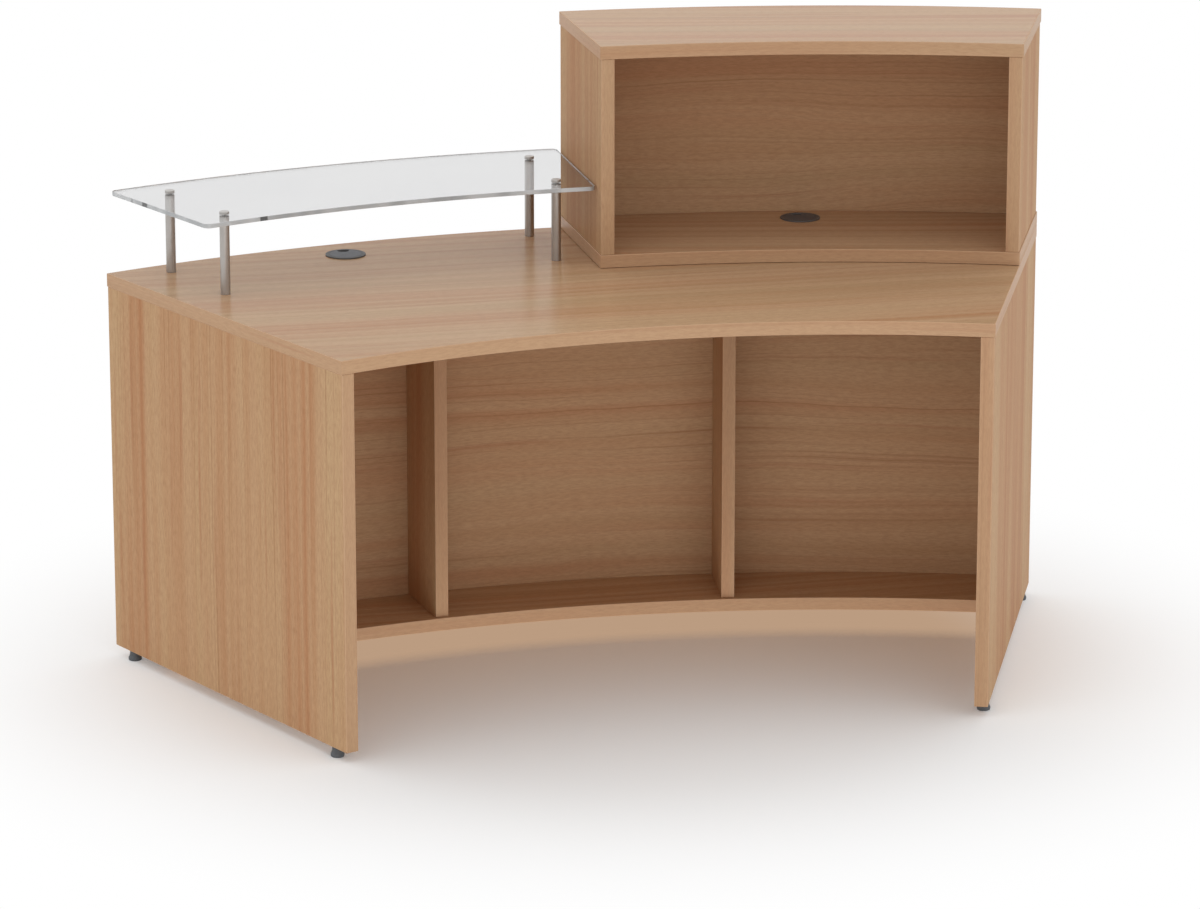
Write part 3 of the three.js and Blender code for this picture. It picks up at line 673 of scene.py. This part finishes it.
def ground_glass():
    """Ground and polished edge of the glass, with grinding marks, and pale and dark stretches and rare dark
    patches painted along it: painted reflections and painted shade for what the edge reflects and refracts.
    """
    finish = Finish("glass_edge", IOR=GLASS_EDGE_IOR, Transmission_Weight=0.35)
    grain = finish.grain()
    marks = finish.noise(grain, waves=(14, 5200, 1))
    # Pale and dark stretches along the edge are painted reflections
    stretches = finish.spread(finish.noise(grain, waves=(15, 2, 1)), NOISE_LOW, NOISE_HIGH)
    # Rare dark patches are painted shade where the edge would refract dark
    painted_dark_patches = finish.noise(grain, waves=(24, 2, 1), detail=0.0)
    painted_dark_patches = finish.spread(painted_dark_patches, low=0.66, high=0.70, to_high=0.85)
    colour = finish.mix(stretches, srgb(190, 193, 195), srgb(238, 240, 241))
    colour = finish.mix(finish.math("MULTIPLY", marks, 0.3), colour, srgb(214, 215, 215))
    finish.set("Base Color", finish.mix(painted_dark_patches, colour, srgb(72, 72, 72)))
    finish.uneven_gloss(marks, roughness=0.14, swing=0.06)
    finish.bump(marks, depth=0.02 * MM, strength=0.4)
    return finish.material


def satin_steel(name, dark, pale, roughness):
    """Turned steel with fine rings and a soft, uneven gloss."""
    finish = Finish(name, Metallic=1.0)
    places = finish.places()
    rings = finish.noise(places, waves=(40, 40, 2600))
    clouds = finish.noise(places, waves=(90, 90, 40), detail=3.0)
    finish.set("Base Color", finish.mix(clouds, dark, pale))
    finish.uneven_gloss(rings, roughness, swing=0.05)
    finish.bump(rings, depth=0.01 * MM, strength=0.3)
    return finish.material


def zinc_steel():
    """Zinc plating with a faint crystal pattern."""
    finish = Finish("zinc_steel", Metallic=1.0)
    places = finish.places()
    flakes = finish.node("ShaderNodeTexVoronoi", {"Vector": places, "Scale": 700.0}).outputs["Color"]
    clouds = finish.noise(places, waves=(160, 160, 160), detail=3.0)
    colour = finish.mix(clouds, srgb(176, 178, 182), srgb(204, 205, 206))
    finish.set("Base Color", finish.mix(0.12, colour, flakes, blend="OVERLAY"))
    finish.uneven_gloss(clouds, roughness=0.41, swing=0.07)
    finish.bump(clouds, depth=0.03 * MM, strength=0.4)
    return finish.material


def plastic(name, dark, pale, roughness):
    """Moulded plastic with a fine spark-eroded texture."""
    finish = Finish(name, IOR=PLASTIC_IOR, Specular_IOR_Level=0.15)
    places = finish.places()
    clouds = finish.noise(places, waves=(70, 70, 70), detail=3.0)
    pits = finish.noise(places, waves=(2400, 2400, 2400))
    finish.set("Base Color", finish.mix(clouds, dark, pale))
    finish.uneven_gloss(pits, roughness, swing=0.06)
    finish.bump(pits, depth=0.05 * MM, strength=0.5)
    return finish.material


def bare_beech():
    """Unfinished beech of the dowels, with dark flecks."""
    finish = Finish("bare_beech", IOR=BEECH_IOR)
    places = finish.places()
    lines = finish.noise(places, waves=(900, 900, 60))
    flecks = finish.spread(finish.noise(places, waves=(2600, 2600, 240), detail=1.0), low=0.6, high=0.7)
    colour = finish.mix(lines, srgb(200, 168, 124), srgb(224, 198, 156))
    finish.set("Base Color", finish.mix(finish.math("MULTIPLY", flecks, 0.4), colour, srgb(160, 118, 78)))
    finish.uneven_gloss(lines, roughness=0.68, swing=0.06)
    finish.bump(lines, depth=0.05 * MM, strength=0.5)
    return finish.material


TOP_DECOR = wood("top_decor", wander=0.05, gloss=0.06, roughness=0.24, relief=0.12, pale=0.03, marks=0.72,
                 band_colour=PALE_BANDS)
PANEL_DECOR = wood("panel_decor", wander=0.02, gloss=0.02, roughness=0.50, zone_colours=STRONG_ZONES)
CURVED_DECOR = wood("curved_decor", wander=0.09, gloss=0.03, roughness=0.46, pale=0.06)
EDGING = wood("board_edging", wander=0.004, gloss=0.12, roughness=0.40, contrast=0.7, pale=0.045)
# The boards' rounded edges are painted paler with flatter decor: a painted highlight along the corners
CORNER_HIGHLIGHT = wood("board_corner_highlight", wander=0.004, gloss=0.12, roughness=0.48, contrast=0.35, base=CORNER_HIGHLIGHT_COLOUR)
CLEAR_GLASS = clear_glass()
GLASS_EDGE = ground_glass()
STEEL = satin_steel("satin_steel", dark=srgb(172, 167, 162), pale=srgb(186, 182, 178), roughness=0.42)
CAP_STEEL = satin_steel("cap_steel", dark=srgb(196, 193, 189), pale=srgb(212, 209, 206), roughness=0.55)
ZINC = zinc_steel()
DARK_PLASTIC = plastic("dark_plastic", dark=srgb(86, 89, 92), pale=srgb(102, 105, 109), roughness=0.45)
RIM_PLASTIC = plastic("rim_plastic", dark=srgb(86, 84, 83), pale=srgb(102, 100, 99), roughness=0.45)
GREY_PLASTIC = plastic("grey_plastic", dark=srgb(76, 77, 82), pale=srgb(92, 93, 99), roughness=0.4)
RUBBER = plastic("gasket_rubber", dark=srgb(188, 186, 183), pale=srgb(204, 202, 199), roughness=0.7)
BEECH = bare_beech()
TOP_FINISH = [TOP_DECOR, EDGING, CORNER_HIGHLIGHT]
PANEL_FINISH = [PANEL_DECOR, EDGING, CORNER_HIGHLIGHT]
CURVED_FINISH = [CURVED_DECOR, EDGING, CORNER_HIGHLIGHT]
HIDDEN_FINISH = {"dowel": BEECH, "zinc_steel": ZINC}


# Boards


def lying_board(node, outline, holes=(), grain_angle=0.0, seam=0.0):
    """A board that lies flat, over a seam that shortens it from below."""
    low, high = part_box(node)
    form = prism(outline, high.z - low.z - seam, BOARD_ROUNDING, holes, grain_angle, GRAIN_PLACES[node])
    put(form.lift(low.z + seam), f"{node}_board", node, "desk", TOP_FINISH)


def upright_board(node, angle, face, radii):
    """A flat board on a radius, with its left face at a distance from that radius."""
    low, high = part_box(node)
    outline = rectangle((radii[0], low.z), (radii[1], high.z))
    form = prism(outline, BOARD, BOARD_ROUNDING, grain_angle=QUARTER, shift=GRAIN_PLACES[node])
    outward = Vector((math.sin(angle), math.cos(angle), 0))
    upward = Vector((0, 0, 1))
    across = outward.cross(upward)
    place = Matrix((outward, upward, across)).transposed().to_4x4()
    place.translation = ARC_CENTRE.to_3d() + across * face
    put(form.move(place), f"{node}_board", node, "desk", PANEL_FINISH)


def curved_board(node, radius, left, right):
    """An upright board bent round the plan's centre, with its decor on the two curved faces."""
    low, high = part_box(node)
    outline = sector(radius, radius + BOARD, left, right)
    form = prism(outline, high.z - low.z, BOARD_ROUNDING, shift=GRAIN_PLACES[node], slots=(1, 0, 2))
    put(form.lift(low.z), f"{node}_board", node, "desk", CURVED_FINISH)


def radius_of(node):
    """Radius of a round node."""
    low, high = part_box(node)
    return (high.x - low.x) / 2


def bolt_holes(kind):
    """Holes through a board for the bolts of one kind."""
    holes = []
    for i in NUMBERS:
        node = f"{kind}_bolt_{i}"
        radius = radius_of(node) / BOLT_FLANGE_RATIO + CLEARANCE
        holes.append(hole(centre_of(node).to_2d(), radius))
    return holes


def cable_hole(grommet):
    return hole(centre_of(f"{grommet}_grommet_liner").to_2d(), CABLE_HOLE_RADIUS)


def desk_boards():
    ends = (-HALF_SWEEP, 0), (HALF_SWEEP, 0)
    faces = (-HALF_SWEEP, END_PANEL_INNER + CLEARANCE), (HALF_SWEEP, END_PANEL_INNER + CLEARANCE)
    holes = [cable_hole("desk"), cable_hole("hutch"), *bolt_holes("post"), *bolt_holes("hutch")]
    lying_board("worktop", sector(STAFF_RADIUS, VISITOR_RADIUS, *ends), holes)
    reach = (STAFF_RADIUS + STAFF_OVERHANG, VISITOR_RADIUS - VISITOR_OVERHANG)
    upright_board("left_end_panel", -HALF_SWEEP, SIDE_OVERHANG, reach)
    upright_board("right_end_panel", HALF_SWEEP, -END_PANEL_INNER, reach)
    curved_board("visitor_panel", PANEL_INNER_RADIUS, *faces)
    lying_board("bottom_shelf", sector(SHELF_RADIUS, SHELF_BACK_RADIUS, *faces))
    depth = (SHELF_RADIUS + DIVIDER_SETBACK, SHELF_BACK_RADIUS - CLEARANCE)
    upright_board("left_divider", -DIVIDER_ANGLE, -BOARD / 2, depth)
    upright_board("right_divider", DIVIDER_ANGLE, -BOARD / 2, depth)


def hutch_boards():
    ends = (0, 0), (HALF_SWEEP, 0)
    faces = (0, HUTCH_SIDE_INNER + CLEARANCE), (HALF_SWEEP, HUTCH_SIDE_INNER + CLEARANCE)
    outline = sector(HUTCH_RADIUS, VISITOR_RADIUS, *ends)
    chord = -HALF_SWEEP / 2
    lying_board("hutch_base", outline, [cable_hole("hutch")], chord, HUTCH_SEAM)
    lying_board("hutch_top", outline, (), chord)
    reach = (HUTCH_RADIUS + STAFF_OVERHANG, VISITOR_RADIUS - VISITOR_OVERHANG)
    upright_board("hutch_left_panel", 0, HUTCH_OVERHANG, reach)
    upright_board("hutch_right_panel", HALF_SWEEP, -HUTCH_SIDE_INNER, reach)
    curved_board("hutch_visitor_panel", HUTCH_PANEL_RADIUS, *faces)


# Glass shelf, its posts and the bolts


def glass_shelf():
    low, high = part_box("glass_shelf")
    ends = (-HALF_SWEEP, GLASS_END_INSET), (0, GLASS_HUTCH_GAP)
    outline = sector(GLASS_RADIUS, GLASS_VISITOR_RADIUS, *ends, GLASS_CORNER, GLASS_CORNER_STEPS)
    holes = [hole(centre_of(f"post_{i}").to_2d(), GLASS_HOLE_RADIUS) for i in NUMBERS]
    form = prism(outline, high.z - low.z, GLASS_ROUNDING, holes, slots=(0, 1, 1))
    put(form.lift(low.z), "glass_plate", "glass_shelf", "desk", [CLEAR_GLASS, GLASS_EDGE])


def post(i):
    node = f"post_{i}"
    low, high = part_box(node)
    radius = radius_of(node)
    top = high.z - SEAT_GAP
    profile = fillet([
        (0, low.z, 0),
        (radius, low.z, STEEL_ROUNDING),
        (radius, top, POST_TOP_ROUNDING),
        (0, top, 0),
    ])
    put(turned(profile).stand_at(node), f"shelf_{node}", node, "desk", [STEEL])


def post_cap(i):
    """A round cap with a stem that goes down through the glass."""
    node = f"post_cap_{i}"
    low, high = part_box(node)
    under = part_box(f"post_gasket_{i}")[1].z
    radius = radius_of(node)
    profile = fillet([
        (0, low.z, 0),
        (CAP_STEM_RADIUS, low.z, STEEL_ROUNDING),
        (CAP_STEM_RADIUS, under, 0),
        (radius, under, CAP_LIP_ROUNDING),
        (radius, high.z, CAP_ROUNDING),
        (0, high.z, 0),
    ])
    put(turned(profile).stand_at(node), f"shelf_{node}", node, "desk", [CAP_STEEL])


def post_gasket(i):
    node = f"post_gasket_{i}"
    low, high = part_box(node)
    radius = radius_of(node)
    seat = low.z + SEAT_GAP / 2
    profile = fillet([
        (GLASS_HOLE_RADIUS, seat, 0),
        (radius, seat, PLASTIC_ROUNDING),
        (radius, high.z, PLASTIC_ROUNDING),
        (GLASS_HOLE_RADIUS, high.z, 0),
    ])
    put(turned(profile, closed=True).stand_at(node), f"shelf_{node}", node, "desk", [RUBBER])


def bolt(node):
    """A hexagon bolt with a flange, screwed up through the worktop."""
    low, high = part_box(node)
    seat = TOP_LOW.z
    flange_radius = radius_of(node)
    shank_radius = flange_radius / BOLT_FLANGE_RATIO
    form = turned(fillet([
        (0, seat - BOLT_FLANGE, 0),
        (flange_radius, seat - BOLT_FLANGE, STEEL_ROUNDING),
        (flange_radius, seat, 0),
        (shank_radius, seat, 0),
        (shank_radius, high.z, STEEL_ROUNDING),
        (0, high.z, 0),
    ]))
    head_radius = shank_radius * BOLT_HEAD_RATIO / math.cos(math.pi / HEX_SIDES)
    flats = circle(Vector((0, 0)), head_radius, HEX_SIDES)
    sides = []
    for i, corner in enumerate(flats):
        for neighbour in (flats[i - 1], flats[(i + 1) % HEX_SIDES]):
            sides.append(corner.lerp(neighbour, HEX_CORNER_SHARE))
    head = prism(sides, seat - BOLT_FLANGE / 2 - low.z, STEEL_ROUNDING, slots=ONE_SLOT)
    form.join(head.lift(low.z))
    put(form.stand_at(node), f"{node}_flanged", node, "desk", [ZINC])


# Levelling feet and cable grommets


def foot(node, body):
    """A round pad with a flared neck and a threaded stud."""
    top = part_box(node)[1].z
    radius = radius_of(node)
    rim = Vector((radius, FOOT_RIM))
    neck = Vector((FOOT_TOP_RADIUS, FOOT_HEIGHT))
    hollow = Vector((FOOT_TOP_RADIUS, FOOT_RIM + (FOOT_HEIGHT - FOOT_RIM) * FLARE_HOLLOW))
    profile = fillet([(0, 0, 0), (radius, 0, FOOT_ROUNDING), (radius, FOOT_RIM, 0)])
    for step in range(1, FLARE_STEPS + 1):
        t = step / FLARE_STEPS
        profile.append(rim * (1 - t) ** 2 + hollow * 2 * t * (1 - t) + neck * t**2)
    root_radius = STUD_RADIUS - THREAD_DEPTH
    height = FOOT_HEIGHT
    while height + THREAD_PITCH < top:
        profile.append(Vector((root_radius, height)))
        profile.append(Vector((STUD_RADIUS, height + THREAD_PITCH / 2)))
        height += THREAD_PITCH
    profile += [Vector((root_radius, height)), Vector((root_radius, top)), Vector((0, top))]
    form = turned(profile).stand_at(node)
    put(form, f"levelling_{node}", node, body, [DARK_PLASTIC])


def grommet_liner(name):
    """A sleeve with a rim, a ledge for the cap and a web that closes the cap's notch."""
    node = f"{name}_grommet_liner"
    seat = GROMMET_RIM_HEIGHT - GROMMET_CAP_THICKNESS
    ledge_bottom = seat - GROMMET_LEDGE_THICKNESS
    profile = fillet([
        (GROMMET_LEDGE, ledge_bottom, 0),
        (GROMMET_BORE, ledge_bottom, 0),
        (GROMMET_BORE, -GROMMET_SLEEVE_DEPTH, PLASTIC_ROUNDING),
        (GROMMET_SLEEVE, -GROMMET_SLEEVE_DEPTH, PLASTIC_ROUNDING),
        (GROMMET_SLEEVE, 0, 0),
        (GROMMET_RIM_RADIUS, 0, 0),
        (GROMMET_RIM_RADIUS, GROMMET_RIM_HEIGHT, GROMMET_RIM_ROUNDING),
        (GROMMET_BORE, GROMMET_RIM_HEIGHT, PLASTIC_ROUNDING),
        (GROMMET_BORE, seat, 0),
        (GROMMET_LEDGE, seat, 0),
    ])
    form = turned(profile, closed=True)
    web_edge = GROMMET_CAP_RADIUS - GROMMET_NOTCH_DEPTH - GROMMET_WEB_MARGIN
    reach = math.acos(web_edge / GROMMET_BORE)
    outline = arc(Vector((0, 0)), GROMMET_BORE, QUARTER - reach, QUARTER + reach, HOLE_SIDES)
    web = prism(outline, GROMMET_LEDGE_THICKNESS, WEB_ROUNDING, slots=ONE_SLOT)
    form.join(web.lift(ledge_bottom))
    form.lift(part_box(node)[1].z - GROMMET_RIM_HEIGHT)
    put(form.stand_at(node), f"{name}_cable_liner", node, "desk", [RIM_PLASTIC])


def grommet_cap(name, body):
    """A disc with a round-ended notch for the cables."""
    node = f"{name}_grommet_cap"
    low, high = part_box(node)
    half_notch = math.asin(GROMMET_NOTCH_WIDTH / 2 / GROMMET_CAP_RADIUS)
    middle = Vector((0, 0))
    rim = arc(middle, GROMMET_CAP_RADIUS, QUARTER + half_notch, 5 * QUARTER - half_notch, ROUND_SIDES)
    notch_middle = Vector((0, GROMMET_CAP_RADIUS - GROMMET_NOTCH_DEPTH + GROMMET_NOTCH_WIDTH / 2))
    notch = arc(notch_middle, GROMMET_NOTCH_WIDTH / 2, 0, -2 * QUARTER, HOLE_SIDES // 2)
    form = prism([*rim, *notch], high.z - low.z, PLASTIC_ROUNDING, slots=ONE_SLOT)
    form.lift(low.z).stand_at(f"{name}_grommet_liner")
    put(form, f"{name}_cable_cap", node, body, [GREY_PLASTIC])


def hidden_fittings():
    """Inserts and dowels inside the boards keep their solids and get a finish."""
    for part in frame["record"]["subparts"]:
        solid = frame["nodes"][part["node"]]
        if not solid.hide_render:
            solid.data.materials.clear()
            solid.data.materials.append(HIDDEN_FINISH[part["material_slot"]])


# Floor, light and camera


def floor_finish():
    """Pale near the desk's shadow and white away from it, with painted light before the bottom shelf: a
    warm glowing band that the camera and reflections see, and a white glow there that lights the object's
    diffuse rays.
    """
    finish = Finish("floor", Base_Color=FLOOR_COLOUR, Roughness=FLOOR_ROUGHNESS, Specular_IOR_Level=0.0)
    path = finish.node("ShaderNodeLightPath").outputs
    seen = finish.math("MAXIMUM", path["Is Camera Ray"], path["Is Glossy Ray"])
    seen = finish.math("MAXIMUM", seen, path["Is Transmission Ray"])
    places = finish.places()
    far = finish.spread(finish.length(places), FADE_START, FADE_END)
    from_centre = finish.moved(places, (0, -CENTRE_Y, 0))
    reach = finish.length(from_centre)
    near = finish.spread(reach, SHELF_RADIUS - GLOW_BEFORE, SHELF_RADIUS - GLOW_FULL)
    tail = finish.spread(reach, SHELF_RADIUS - GLOW_TAIL, SHELF_RADIUS - GLOW_FULL, 0.0, TAIL_SHARE)
    bounce = finish.spread(reach, SHELF_RADIUS - BOUNCE_BEFORE, SHELF_RADIUS - BOUNCE_FULL)
    under = finish.spread(reach, SHELF_RADIUS + GLOW_BEHIND, SHELF_RADIUS + GLOW_END, 1.0, 0.0)
    axes = finish.node("ShaderNodeSeparateXYZ", {0: from_centre}).outputs
    turn = finish.math("ABSOLUTE", finish.math("ARCTAN2", axes["X"], axes["Y"]))
    inside = finish.spread(turn, HALF_SWEEP - GLOW_SIDE_FULL, HALF_SWEEP - GLOW_SIDE_END, 1.0, 0.0)
    strip = finish.math("MULTIPLY", under, inside)
    share = finish.spread(seen, 0.0, 1.0, bounce, finish.math("MAXIMUM", near, tail))
    # The strip is painted light: a tan glow for camera, glossy and transmission rays, a white glow for
    # diffuse rays
    warm = finish.glow(finish.mix(seen, BOUNCE_LIGHT, srgb(*PAINTED_GLOW_TINT)))
    lit = finish.shader_mix(finish.math("MULTIPLY", share, strip), finish.shader.outputs[0], warm)
    lit = finish.shader_mix(finish.math("MULTIPLY", far, seen), lit, finish.glow(WHITE))
    below = finish.node("ShaderNodeNewGeometry").outputs["Backfacing"]
    clear = finish.node("ShaderNodeBsdfTransparent").outputs[0]
    surface = finish.tree.nodes["Material Output"].inputs["Surface"]
    finish.feed(surface, finish.shader_mix(below, lit, clear))
    return finish.material


def floor():
    mesh = bpy.data.meshes.new("floor")
    corners = [(-1, -1), (1, -1), (1, 1), (-1, 1)]
    mesh.from_pydata([(x * FLOOR_HALF, y * FLOOR_HALF, 0) for x, y in corners], [], [(0, 1, 2, 3)])
    mesh.materials.append(floor_finish())
    plane = bpy.data.objects.new("floor", mesh)
    bpy.context.scene.collection.objects.link(plane)


def room_light():
    """An even white room, a little dimmer overhead."""
    world = bpy.data.worlds.new("room")
    bpy.context.scene.world = world
    world.use_nodes = True
    room = Nodes(world.node_tree)
    facing = room.node("ShaderNodeTexCoord").outputs["Generated"]
    height = room.node("ShaderNodeSeparateXYZ", {0: facing}).outputs["Z"]
    heights = {"Value": height, "From Min": HORIZON_HEIGHT, "From Max": SKY_HEIGHT}
    strengths = {"To Min": HORIZON_STRENGTH, "To Max": SKY_STRENGTH}
    sky = room.node("ShaderNodeMapRange", {**heights, **strengths}).outputs["Result"]
    seen = room.node("ShaderNodeLightPath").outputs["Is Camera Ray"]
    level = room.node("ShaderNodeMapRange", {"Value": seen, "To Min": sky, "To Max": 1.0}).outputs["Result"]
    background = room.tree.nodes["Background"].inputs
    room.feed(background["Color"], WHITE)
    room.feed(background["Strength"], level)


def fill_lamp():
    """A wide, soft and weak lamp low down on the staff side."""
    lamp = bpy.data.lights.new("fill", "AREA")
    lamp.shape = "RECTANGLE"
    lamp.size = FILL_SIZE
    lamp.size_y = FILL_HEIGHT
    lamp.energy = FILL_WATTS
    fill = bpy.data.objects.new("fill", lamp)
    fill.location = FILL_PLACE
    fill.rotation_euler = FILL_FACING.to_track_quat("-Z", "Y").to_euler()
    bpy.context.scene.collection.objects.link(fill)


def camera():
    lens = bpy.data.cameras.new("camera")
    lens.sensor_width = SENSOR_WIDTH
    lens.lens = FOCAL_PIXELS / PHOTO_WIDTH * SENSOR_WIDTH
    eye = bpy.data.objects.new("camera", lens)
    flat = math.cos(CAMERA_PITCH)
    facing = Vector((math.sin(CAMERA_YAW) * flat, math.cos(CAMERA_YAW) * flat, -math.sin(CAMERA_PITCH)))
    eye.location = CAMERA_PLACE
    eye.rotation_euler = facing.to_track_quat("-Z", "Y").to_euler()
    bpy.context.scene.collection.objects.link(eye)
    bpy.context.scene.camera = eye


# The desk in its room

desk_boards()
hutch_boards()
glass_shelf()
for number in NUMBERS:
    post(number)
    post_cap(number)
    post_gasket(number)
    bolt(f"post_bolt_{number}")
    bolt(f"hutch_bolt_{number}")
for body_name, members in frame["record"]["behaviour"]["bodies"].items():
    if body_name.endswith("_foot"):
        foot(members[0], body_name)
for grommet_name in ("desk", "hutch"):
    grommet_liner(grommet_name)
    grommet_cap(grommet_name, f"{grommet_name}_cap")
hidden_fittings()
floor()
room_light()
fill_lamp()
camera()
bpy.context.scene.view_settings.view_transform = "Standard"
